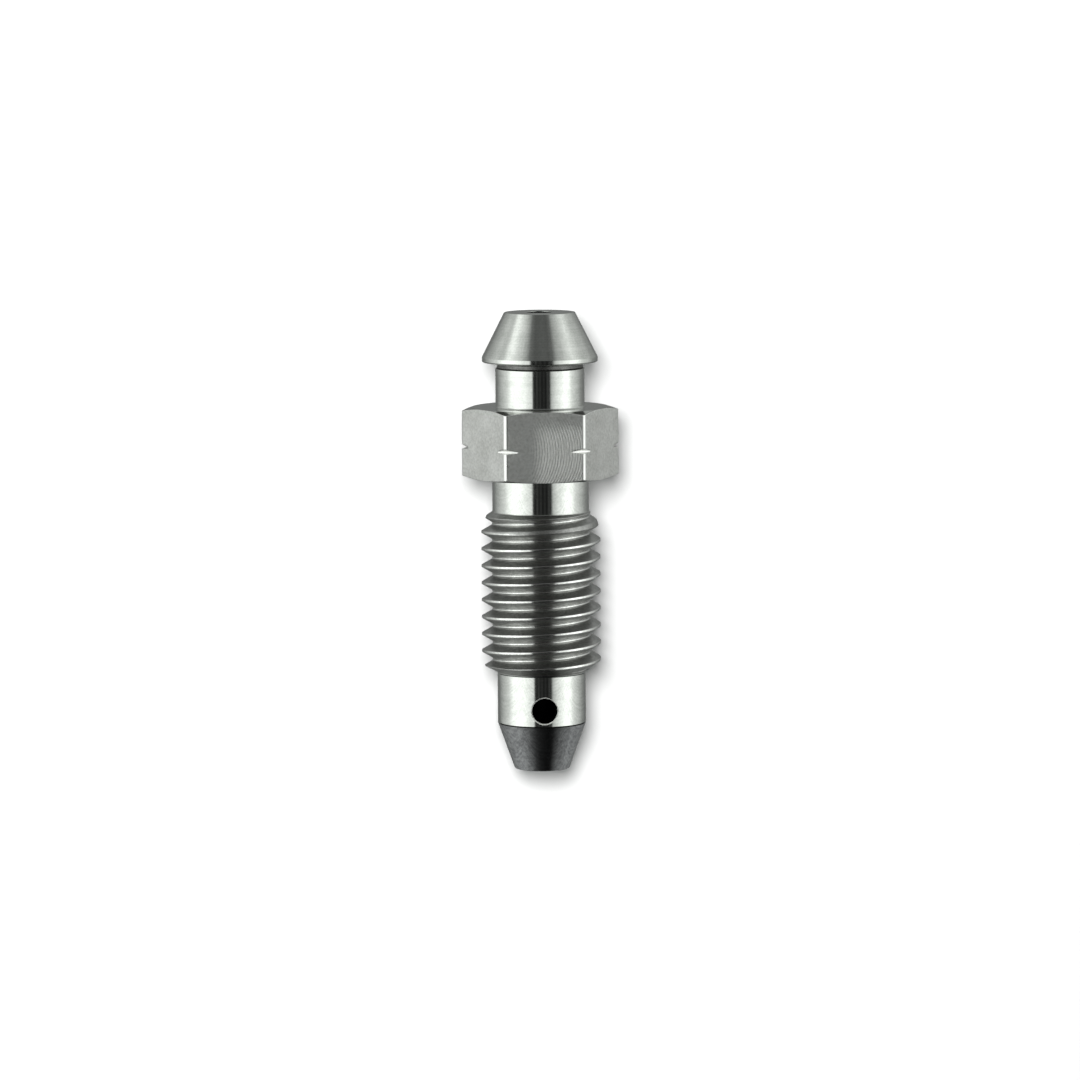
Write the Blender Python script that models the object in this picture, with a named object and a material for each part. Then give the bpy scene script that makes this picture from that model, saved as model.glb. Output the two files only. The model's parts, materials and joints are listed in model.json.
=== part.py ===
"""Bleeder screw with an M7 x 1 thread, turned in one piece from 8 mm hexagon bar.

The screw is drawn upright: its axis is Z, its conical tip stands at zero and its hose end is on
top. The front, at -Y, is the side with the cross hole. At the end the screw is laid on the floor
with the front up, the hose end towards +Y, at the slope at which it comes to rest.

Stations are distances along the axis from the face of the hose end.
"""

from itertools import pairwise
from math import atan, ceil, cos, pi, radians, sin, tan

import bmesh
import bpy
import numpy as np
from mathutils import Matrix, Vector

MM = 0.001

# Hose end: a cone that the bleed hose slips over, with a lip behind which it grips
FACE_DIAMETER = 4.14 * MM
FACE_EDGE_BREAK = 0.05 * MM
CONE_LENGTH = 2.6 * MM
LIP_DIAMETER = 6.76 * MM
LIP_LENGTH = 0.29 * MM
LIP_ROUNDING = 0.08 * MM
UNDERSIDE_RISE = 0.08 * MM
UNDERCUT_RELIEF = 0.09 * MM
UNDERCUT_LENGTH = 0.23 * MM
NECK_DIAMETER = 5.2 * MM
NECK_EDGE_BREAK = 0.08 * MM
NECK_LENGTH = 2.33 * MM

# Hexagon for an 8 mm spanner, left from the bar
HEX_ACROSS_FLATS = 8.0 * MM
HEX_LENGTH = 4.12 * MM
HEX_CORNER_ROUNDING = 0.28 * MM
HEX_UPPER_CHAMFER = 0.19 * MM
HEX_LOWER_CHAMFER = 0.14 * MM
CORNER_GROOVE_STATION = 2.28 * MM
CORNER_GROOVE_WIDTH = 0.28 * MM
CORNER_GROOVE_FLOOR = 0.16 * MM
CORNER_GROOVE_DEPTH = 0.28 * MM

# Shank and thread: right-hand, 60 degrees, with a full round root
SHANK_LENGTH = 2.0 * MM
SHANK_RELIEF = 0.02 * MM
THREAD_MAJOR_DIAMETER = 6.97 * MM
THREAD_PITCH = 1.0 * MM
THREAD_LENGTH = 9.43 * MM
THREAD_START_RELIEF = 0.29 * MM
THREAD_START_CHAMFER = 0.25 * MM
THREAD_START_TAPER = 0.9 * MM
THREAD_END_CHAMFER = 0.45 * MM
THREAD_FIRST_CREST = 0.94 * MM
THREAD_DEPTH_PER_PITCH = 0.64
THREAD_CREST_PER_PITCH = 0.125
THREAD_FLANK_ANGLE = radians(30)

# Land with the cross hole, and the cone that seals on its seat
LAND_LENGTH = 3.0 * MM
LAND_RELIEF = 0.26 * MM
LAND_ROUNDING = 0.3 * MM
SEAT_HALF_ANGLE = radians(20.5)
TIP_DIAMETER = 3.22 * MM
TIP_EDGE_BREAK = 0.14 * MM

# Drilled way from the cross hole to the hose end
BORE_DIAMETER = 1.5 * MM
BORE_PAST_CROSS_HOLE = 0.15 * MM
CROSS_HOLE_DIAMETER = 1.48 * MM
CROSS_HOLE_FROM_SEAT = 0.94 * MM
DRILL_POINT_HALF_ANGLE = radians(59)

# Fineness of round surfaces, and how far cutters run past what they cut
TURN_STEPS = 48
HOLE_STEPS = 24
ROUNDING_STEPS = 3
OVERRUN = 0.5 * MM

STEEL = (0.56, 0.56, 0.545)
STEEL_ROUGHNESS = 0.3

# Radii and stations that follow from the sizes
face_radius = FACE_DIAMETER / 2
lip_radius = LIP_DIAMETER / 2
neck_radius = NECK_DIAMETER / 2
flat_distance = HEX_ACROSS_FLATS / 2
corner_distance = (flat_distance - HEX_CORNER_ROUNDING) / cos(pi / 6) + HEX_CORNER_ROUNDING
major_radius = THREAD_MAJOR_DIAMETER / 2
root_radius = major_radius - THREAD_DEPTH_PER_PITCH * THREAD_PITCH
shank_radius = root_radius - SHANK_RELIEF
land_radius = root_radius - LAND_RELIEF
tip_radius = TIP_DIAMETER / 2
bore_radius = BORE_DIAMETER / 2
cross_hole_radius = CROSS_HOLE_DIAMETER / 2

undercut_station = CONE_LENGTH + LIP_LENGTH + UNDERSIDE_RISE
neck_station = undercut_station + UNDERCUT_LENGTH
hex_station = neck_station + NECK_LENGTH
shank_station = hex_station + HEX_LENGTH
thread_station = shank_station + SHANK_LENGTH
land_station = thread_station + THREAD_LENGTH
seat_station = land_station + LAND_LENGTH
seat_length = (land_radius - tip_radius) / tan(SEAT_HALF_ANGLE)
overall_length = seat_station + seat_length + TIP_EDGE_BREAK
cross_hole_station = seat_station - CROSS_HOLE_FROM_SEAT


def height(station):
    """Height over the tip of a place given by its distance from the hose end."""
    return overall_length - station


def around(radius, turn, station):
    """Point at a radius and a station, turned from the front towards +X."""
    return Vector((radius * sin(turn), -radius * cos(turn), height(station)))


def arc(centre, radius, start, end, steps):
    """Points (radius, station) of a round stretch of an outline, both ends included."""
    angles = [start + (end - start) * i / steps for i in range(steps + 1)]
    return [(centre[0] + radius * cos(a), centre[1] + radius * sin(a)) for a in angles]


def make_object(name, mesh, cutter=True):
    """Object from a bmesh, with its normals turned outwards."""
    bmesh.ops.recalc_face_normals(mesh, faces=mesh.faces)
    data = bpy.data.meshes.new(name)
    mesh.to_mesh(data)
    mesh.free()
    obj = bpy.data.objects.new(name, data)
    bpy.context.collection.objects.link(obj)
    if cutter:
        obj.hide_render = True
        obj.display_type = "WIRE"
    return obj


def join_rings(mesh, rings):
    """Faces between each ring of vertices and the next, and over both ends unless they are points."""
    for ring, following in pairwise(rings):
        for i in range(len(ring)):
            corners = (ring[i - 1], ring[i], following[i], following[i - 1])
            mesh.faces.new(dict.fromkeys(corners))
    for end in (rings[0], rings[-1]):
        if end[0] is not end[1]:
            mesh.faces.new(end)


def turned(name, outline, steps=TURN_STEPS):
    """Solid turned from an outline of (radius, station) points. It may end in a point."""
    mesh = bmesh.new()
    rings = []
    for radius, station in outline:
        if radius:
            turns = [2 * pi * i / steps for i in range(steps)]
            rings.append([mesh.verts.new(around(radius, turn, station)) for turn in turns])
        else:
            rings.append([mesh.verts.new(around(0, 0, station))] * steps)
    join_rings(mesh, rings)
    return make_object(name, mesh)


def hexagon_bar():
    """Bar stock with a flat at the front and rounded corners, longer than the screw."""
    outline = []
    for side in range(6):
        corner = (side + 0.5) * pi / 3
        centre_distance = (flat_distance - HEX_CORNER_ROUNDING) / cos(pi / 6)
        centre = (centre_distance * cos(corner), centre_distance * sin(corner))
        start, end = corner - pi / 6, corner + pi / 6
        outline += arc(centre, HEX_CORNER_ROUNDING, start, end, ROUNDING_STEPS)
    mesh = bmesh.new()
    ends = (-OVERRUN, overall_length + OVERRUN)
    rings = [[mesh.verts.new((y, -x, height(station))) for x, y in outline] for station in ends]
    join_rings(mesh, rings)
    return make_object("bleeder_screw", mesh, cutter=False)


def rounded(before, corner, after, radius):
    """Points of an arc that touches both sides of an outline's corner, in place of the corner."""
    corner = Vector(corner)
    into, out = (Vector(before) - corner).normalized(), (Vector(after) - corner).normalized()
    half = into.angle(out) / 2
    centre = corner + (into + out).normalized() * radius / sin(half)
    first, last = (corner + side * radius / tan(half) - centre for side in (into, out))
    spokes = [first.slerp(last, i / ROUNDING_STEPS) for i in range(ROUNDING_STEPS + 1)]
    return [tuple(centre + spoke * radius) for spoke in spokes]


def hose_end_outline():
    """Face, cone and lip of the hose end, the shallow undercut behind it, and the neck."""
    upper = (lip_radius, CONE_LENGTH)
    lower = (lip_radius, CONE_LENGTH + LIP_LENGTH)
    undercut = (neck_radius - UNDERCUT_RELIEF, undercut_station)
    return [
        (face_radius - FACE_EDGE_BREAK, 0),
        (face_radius, FACE_EDGE_BREAK),
        *rounded((face_radius, FACE_EDGE_BREAK), upper, lower, LIP_ROUNDING),
        *rounded(upper, lower, undercut, LIP_ROUNDING),
        undercut,
        (neck_radius - UNDERCUT_RELIEF, neck_station),
        (neck_radius, neck_station + NECK_EDGE_BREAK),
        (neck_radius, hex_station),
    ]


def hexagon_outline():
    """Chamfered ends of the hexagon and the fine groove that is turned into its corners only."""
    outside = corner_distance + OVERRUN
    spread = (outside - flat_distance) / (corner_distance - flat_distance)
    groove_station = hex_station + CORNER_GROOVE_STATION
    floor_radius = corner_distance - CORNER_GROOVE_DEPTH
    half_groove, half_floor = CORNER_GROOVE_WIDTH / 2, CORNER_GROOVE_FLOOR / 2
    return [
        (flat_distance, hex_station),
        (outside, hex_station + HEX_UPPER_CHAMFER * spread),
        (outside, groove_station - half_groove),
        (corner_distance, groove_station - half_groove),
        (floor_radius, groove_station - half_floor),
        (floor_radius, groove_station + half_floor),
        (corner_distance, groove_station + half_groove),
        (outside, groove_station + half_groove),
        (outside, shank_station - HEX_LOWER_CHAMFER * spread),
        (flat_distance, shank_station),
    ]


def thread_outline():
    """Blank of the thread: a steep chamfer and a slow taper at its start, one chamfer at its end."""
    start_station = thread_station + THREAD_START_CHAMFER
    return [
        (shank_radius, thread_station),
        (major_radius - THREAD_START_RELIEF, start_station),
        (major_radius, start_station + THREAD_START_TAPER),
        (major_radius, land_station - THREAD_END_CHAMFER),
        (land_radius, land_station),
    ]


def sealing_outline():
    """Sealing cone, which a broad rounding joins to the land, and the broken edge of the tip."""
    land = (land_radius, land_station)
    seat = (land_radius, seat_station)
    tip = (tip_radius, seat_station + seat_length)
    return [*rounded(land, seat, tip, LAND_ROUNDING), tip, (tip_radius - TIP_EDGE_BREAK, overall_length)]


def turned_outline():
    """Outline of the whole screw as it is turned, from the hose end to the tip."""
    return [
        *hose_end_outline(),
        *hexagon_outline(),
        (shank_radius, shank_station),
        *thread_outline(),
        *sealing_outline(),
    ]


def groove_section():
    """Section of the thread groove: (radius, offset along the axis), outermost points first."""
    half_crest = THREAD_CREST_PER_PITCH * THREAD_PITCH / 2
    outside = major_radius + half_crest
    flank = tan(THREAD_FLANK_ANGLE)
    half_root = THREAD_PITCH / 2 - half_crest - (major_radius - root_radius) * flank
    rounding = half_root / tan((pi / 2 - THREAD_FLANK_ANGLE) / 2)
    centre = (root_radius + rounding, 0)
    start, end = pi + pi / 2 - THREAD_FLANK_ANGLE, pi - pi / 2 + THREAD_FLANK_ANGLE
    half_mouth = half_root + (outside - root_radius) * flank
    return [
        (outside, -half_mouth),
        *arc(centre, rounding, start, end, ROUNDING_STEPS),
        (outside, half_mouth),
    ]


def thread_groove():
    """Right-hand helical groove, in whole turns that run out over the shank and over the land."""
    section = groove_section()
    turns_before = ceil(THREAD_FIRST_CREST / THREAD_PITCH) + 1
    turns_after = ceil((THREAD_LENGTH - THREAD_FIRST_CREST) / THREAD_PITCH) + 1
    middle_station = thread_station + THREAD_FIRST_CREST + THREAD_PITCH / 2
    mesh = bmesh.new()
    rings = []
    for i in range(-turns_before * TURN_STEPS, turns_after * TURN_STEPS + 1):
        station = middle_station + THREAD_PITCH * i / TURN_STEPS
        turn = -2 * pi * i / TURN_STEPS
        rings.append([mesh.verts.new(around(r, turn, station + offset)) for r, offset in section])
    join_rings(mesh, rings)
    return make_object("thread_groove", mesh)


def axial_bore():
    """Blind bore from the hose end to just past the cross hole, with the drill's point."""
    depth = cross_hole_station + cross_hole_radius + BORE_PAST_CROSS_HOLE
    point_station = depth + bore_radius / tan(DRILL_POINT_HALF_ANGLE)
    outline = [(bore_radius, -OVERRUN), (bore_radius, depth), (0, point_station)]
    return turned("axial_bore", outline, HOLE_STEPS)


def cross_hole():
    """Hole from the front of the land into the bore."""
    mesh = bmesh.new()
    bmesh.ops.create_cone(
        mesh,
        cap_ends=True,
        segments=HOLE_STEPS,
        radius1=cross_hole_radius,
        radius2=cross_hole_radius,
        depth=land_radius + OVERRUN,
    )
    middle = Vector((0, -(land_radius + OVERRUN) / 2, height(cross_hole_station)))
    bmesh.ops.transform(mesh, matrix=Matrix.Rotation(pi / 2, 4, "X"), verts=mesh.verts)
    bmesh.ops.translate(mesh, vec=middle, verts=mesh.verts)
    return make_object("cross_hole", mesh)


def machine(bar, cuts):
    """Puts each cut on the bar as a Boolean, then keeps the result as the bar's own mesh."""
    for operation, cutter in cuts:
        cut = bar.modifiers.new(cutter.name, "BOOLEAN")
        cut.operation = operation
        cut.solver = "EXACT"
        cut.object = cutter
    graph = bpy.context.evaluated_depsgraph_get()
    machined = bpy.data.meshes.new_from_object(bar.evaluated_get(graph))
    machined.name = bar.name
    bar.modifiers.clear()
    bar.data = machined
    for _, cutter in cuts:
        bpy.data.objects.remove(cutter, do_unlink=True)


def centre_of_mass(mesh):
    """Centre of mass of a closed mesh, summed over the tetrahedra under its triangles."""
    mesh.calc_loop_triangles()
    points = np.array([vertex.co for vertex in mesh.vertices])
    corners = points[np.array([triangle.vertices[:] for triangle in mesh.loop_triangles])]
    volumes = np.einsum("ij,ij->i", corners[:, 0], np.cross(corners[:, 1], corners[:, 2]))
    return (corners.sum(axis=1) * volumes[:, None]).sum(axis=0) / volumes.sum() / 4


def resting_slope(mesh):
    """Slope of the line under the screw that touches it on both sides of its centre of mass."""
    points = np.array([vertex.co for vertex in mesh.vertices])
    along, down = points[:, 2], points[:, 1]
    balance = centre_of_mass(mesh)[2]
    tip_side, hose_side = along < balance, along >= balance
    run = along[hose_side][:, None] - along[tip_side][None]
    rise = down[hose_side][:, None] - down[tip_side][None]
    reach = down[tip_side][None] + rise / run * (balance - along[tip_side])[None]
    lowest = np.unravel_index(reach.argmax(), reach.shape)
    return atan(rise[lowest] / run[lowest])


def lay_down(obj):
    """Lays the screw on the floor with its front up, centred over the origin."""
    mesh = obj.data
    mesh.transform(Matrix.Rotation(resting_slope(mesh) - pi / 2, 4, "X"))
    points = np.array([vertex.co for vertex in mesh.vertices])
    low, high = points.min(axis=0), points.max(axis=0)
    middle = (low + high) / 2
    mesh.transform(Matrix.Translation((-middle[0], -middle[1], -low[2])))


def steel():
    """Bright turned steel."""
    material = bpy.data.materials.new("turned_steel")
    material.use_nodes = True
    shader = material.node_tree.nodes["Principled BSDF"]
    shader.inputs["Base Color"].default_value = (*STEEL, 1)
    shader.inputs["Metallic"].default_value = 1
    shader.inputs["Roughness"].default_value = STEEL_ROUGHNESS
    return material


def main():
    """Clears the scene, machines the screw, and lays it down."""
    for obj in list(bpy.data.objects):
        bpy.data.objects.remove(obj, do_unlink=True)
    screw = hexagon_bar()
    cuts = [
        ("INTERSECT", turned("turned_outline", turned_outline())),
        ("DIFFERENCE", thread_groove()),
        ("DIFFERENCE", axial_bore()),
        ("DIFFERENCE", cross_hole()),
    ]
    machine(screw, cuts)
    lay_down(screw)
    screw.data.materials.clear()
    screw.data.materials.append(steel())
    screw.data.shade_smooth()
    screw.data.set_sharp_from_angle(angle=radians(25))


main()
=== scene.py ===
"""Bleeder screw, dressed: turned, milled, threaded and ground steel under soft studio light.

The screw is one closed skin. Its outline is worked out for every turn round the axis, from the
point of the bore, over the hose end and down the outside to the tip, and swept once round. The
cross hole is a ring of loops that joins a window in the land to a window in the bore.

Lengths are metres. A station is a distance along the axis from the face of the hose end, a turn
is an angle round the axis from the front, where the cross hole and one flat are, towards +X.
"""

from __future__ import annotations

import json
import logging
from dataclasses import dataclass, field
from enum import Enum

import bmesh
import bpy
import numpy as np
from mathutils import Matrix


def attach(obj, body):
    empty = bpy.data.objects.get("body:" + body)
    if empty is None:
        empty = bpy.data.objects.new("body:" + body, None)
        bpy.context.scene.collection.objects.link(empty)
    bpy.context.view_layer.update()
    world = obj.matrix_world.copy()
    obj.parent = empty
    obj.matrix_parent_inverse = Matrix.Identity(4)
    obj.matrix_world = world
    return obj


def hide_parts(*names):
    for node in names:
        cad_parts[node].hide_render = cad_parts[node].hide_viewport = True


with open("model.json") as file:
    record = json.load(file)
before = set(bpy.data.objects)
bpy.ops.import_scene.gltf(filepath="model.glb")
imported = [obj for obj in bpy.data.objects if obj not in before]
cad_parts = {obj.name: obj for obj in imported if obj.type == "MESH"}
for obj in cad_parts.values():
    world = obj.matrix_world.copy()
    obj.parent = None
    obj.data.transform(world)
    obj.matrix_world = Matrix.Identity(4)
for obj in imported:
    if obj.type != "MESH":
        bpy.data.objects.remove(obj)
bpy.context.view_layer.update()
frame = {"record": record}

MM = 0.001
NODE = "bleeder_screw"
TAU = 2 * np.pi
# Points closer together than this, in metres, are one
NEAREST = 2e-7
# Radius and station of a corner of the outline, each a number or an array over the columns
Corner = tuple[float | np.ndarray, float | np.ndarray]
log = logging.getLogger("bleeder_screw")


class Region(Enum):
    """Ways the screw's faces were cut, each with its own finish, some painted as highlight or shade."""

    TURNED = 0
    MILLED = 1
    DRAWN = 2
    PAINTED_SHADE_FLANKS = 3
    PAINTED_HIGHLIGHT_LINES = 4
    GROUND = 5
    PAINTED_SHADE_DARK = 6
    PAINTED_SHADE_RECESS = 7
    PAINTED_HIGHLIGHT_RIM = 8


@dataclass(frozen=True)
class Placement:
    """Where the screw lies: a point on its axis and two of its directions.

    Fields:
        face: middle of the hose end's face.
        axis: unit vector along the axis, out of the hose end.
        front: unit vector across the axis, out of the cross hole.
    """

    face: np.ndarray
    axis: np.ndarray
    front: np.ndarray

    @classmethod
    def from_record(cls, record: dict) -> Placement:
        """Reads the axis from the mount on the face of the hose end.

        Args:
            record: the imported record.

        Returns:
            The placement of the screw.
        """
        mount = next(m for m in record["mounts"] if m["name"] == "hose_end_face")
        axis = np.array(mount["axis"], float)
        axis /= np.linalg.norm(axis)
        face = np.array([0.0, *mount["pos_m"][1:]])
        return cls(face, axis, np.cross([1.0, 0.0, 0.0], axis))

    @property
    def side(self) -> np.ndarray:
        """Unit vector to the right, seen from the front with the hose end up."""
        return np.array([1.0, 0.0, 0.0])

    def points(self, across: np.ndarray, out: np.ndarray, station: np.ndarray) -> np.ndarray:
        """Places in space from distances to the right, to the front and along the axis.

        Args:
            across: distance from the axis to the right.
            out: distance from the axis to the front.
            station: distance from the face of the hose end.

        Returns:
            Array of the same shape with a last axis of three.
        """
        across, out, station = (np.asarray(a)[..., None] for a in (across, out, station))
        return self.face + across * self.side + out * self.front - station * self.axis

    def turned(self, radius: np.ndarray, turn: np.ndarray, station: np.ndarray) -> np.ndarray:
        """Places in space from a radius, a turn and a station."""
        return self.points(radius * np.sin(turn), radius * np.cos(turn), station)


@dataclass
class Band:
    """A stretch of the outline for every column of the skin.

    Fields:
        outline: array (rows, columns, 2) of radius and station.
        regions: array (rows - 1, columns - 1) with the number of the Region in each cell.
    """

    outline: np.ndarray
    regions: np.ndarray


def cells(regions: list[Region], columns: int) -> np.ndarray:
    """Numbers of the regions for the cells between rows and columns.

    Args:
        regions: one Region for each gap between two rows.
        columns: number of columns.

    Returns:
        Array (gaps, columns - 1).
    """
    return np.repeat([[region.value] for region in regions], columns - 1, axis=1)


def cell_means(values: np.ndarray) -> np.ndarray:
    """Means of the four corners of every cell of a grid."""
    return (values[1:, 1:] + values[1:, :-1] + values[:-1, 1:] + values[:-1, :-1]) / 4


def spread(corners: list[Corner], columns: int) -> np.ndarray:
    """Repeats an outline for every column.

    Args:
        corners: pairs of radius and station, each a number or an array over the columns.
        columns: number of columns.

    Returns:
        Array (corners, columns, 2).
    """
    rows = [np.stack(np.broadcast_arrays(*pair, np.zeros(columns))[:2], axis=-1) for pair in corners]
    return np.array(rows)


def rounded(outline: np.ndarray, radii: list[float], steps: int = 3) -> tuple[np.ndarray, list[int]]:
    """Replaces corners of an outline by arcs that touch both of their sides.

    The centre of an arc lies on the line that halves the corner, and its points are the first
    and last spokes blended with sines. An arc takes less than half of either side, and gets smaller
    where a side is too short. A guard row lies close beside each arc, so that the shading of the arc
    stays off the flat beside it.

    Args:
        outline: array (corners, columns, 2).
        radii: radius for each corner, 0 for one that stays sharp. The ends always stay.
        steps: facets in an arc.

    Returns:
        Array (rows, columns, 2), and for each row the corner that it came from.
    """
    guard, guard_share = 0.015 * MM, 0.2
    side_share = 0.45
    tiny, least_sweep = 1e-12, 1e-6
    rows, owners = [outline[0]], [0]
    for k in range(1, len(outline) - 1):
        corner = outline[k]
        if radii[k] == 0:
            rows.append(corner)
            owners.append(k)
            continue
        sides = np.stack([outline[k - 1] - corner, outline[k + 1] - corner])
        lengths = np.linalg.norm(sides, axis=-1, keepdims=True)
        into, out = sides / np.maximum(lengths, tiny)
        room = side_share * lengths.min(axis=0)
        half = np.arccos(np.clip((into * out).sum(-1, keepdims=True), -1, 1)) / 2
        reach = np.minimum(radii[k] / np.maximum(np.tan(half), tiny), room)
        middle = into + out
        middle /= np.maximum(np.linalg.norm(middle, axis=-1, keepdims=True), tiny)
        centre = corner + middle * reach / np.maximum(np.cos(half), tiny)
        first, last = corner + into * reach - centre, corner + out * reach - centre
        sweep = np.maximum(np.pi - 2 * half, least_sweep)
        margin = np.minimum(guard, guard_share * lengths)
        rows.append(corner + into * (reach + margin[0]))
        for share in np.linspace(0, 1, steps + 1):
            blend = np.sin((1 - share) * sweep) * first + np.sin(share * sweep) * last
            rows.append(centre + blend / np.sin(sweep))
        rows.append(corner + out * (reach + margin[1]))
        owners += [k] * (steps + 3)
    return np.array([*rows, outline[-1]]), [*owners, len(outline) - 1]


@dataclass
class HoseEnd:
    """Cone for the bleed hose, its rounded lip, the undercut and the neck."""

    face_diameter: float = 4.14 * MM
    face_edge: float = 0.05 * MM
    mouth_edge: float = 0.01 * MM
    cone_length: float = 2.6 * MM
    lip_diameter: float = 6.76 * MM
    lip_length: float = 0.29 * MM
    lip_rounding: float = 0.08 * MM
    underside_rise: float = 0.08 * MM
    undercut_relief: float = 0.09 * MM
    undercut_length: float = 0.23 * MM
    neck_diameter: float = 5.2 * MM
    neck_edge_break: float = 0.08 * MM
    neck_length: float = 2.33 * MM
    edge: float = 0.04 * MM

    @property
    def neck_radius(self) -> float:
        """Radius of the neck."""
        return self.neck_diameter / 2

    @property
    def length(self) -> float:
        """Distance from the face to the hexagon."""
        return self.neck_start + self.neck_length

    @property
    def neck_start(self) -> float:
        """Station where the undercut ends and the neck begins."""
        return self.cone_length + self.lip_length + self.underside_rise + self.undercut_length

    @property
    def neck_middle(self) -> float:
        """Station halfway along the neck, where the next band starts."""
        return self.length - self.neck_length / 2

    def band(self, bore_radius: float, start: float, columns: int) -> Band:
        """Outline from inside the bore, over the face and the cone, to the middle of the neck.

        Args:
            bore_radius: radius of the bore.
            start: station inside the bore where the band starts.
            columns: number of columns.

        Returns:
            The band.
        """
        lip_radius = self.lip_diameter / 2
        undercut_radius = self.neck_radius - self.undercut_relief
        corners = [
            (bore_radius, start),
            (bore_radius, 0),
            (self.face_diameter / 2, 0),
            (lip_radius, self.cone_length),
            (lip_radius, self.cone_length + self.lip_length),
            (undercut_radius, self.neck_start - self.undercut_length),
            (undercut_radius, self.neck_start),
            (self.neck_radius, self.neck_start + self.neck_edge_break),
            (self.neck_radius, self.neck_middle),
        ]
        radii = [0, self.mouth_edge, self.face_edge, *[self.lip_rounding] * 2, *[self.edge] * 3, 0]
        outline, owners = rounded(spread(corners, columns), radii, steps=5)
        undercut = [k for k, (radius, _) in enumerate(corners) if radius == undercut_radius]
        # The undercut's rows get the darker recess finish: painted shade under the lip.
        regions = [
            Region.PAINTED_SHADE_RECESS if owner in undercut or following in undercut else Region.TURNED
            for owner, following in zip(owners, owners[1:])
        ]
        return Band(outline, cells(regions, columns))


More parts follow.
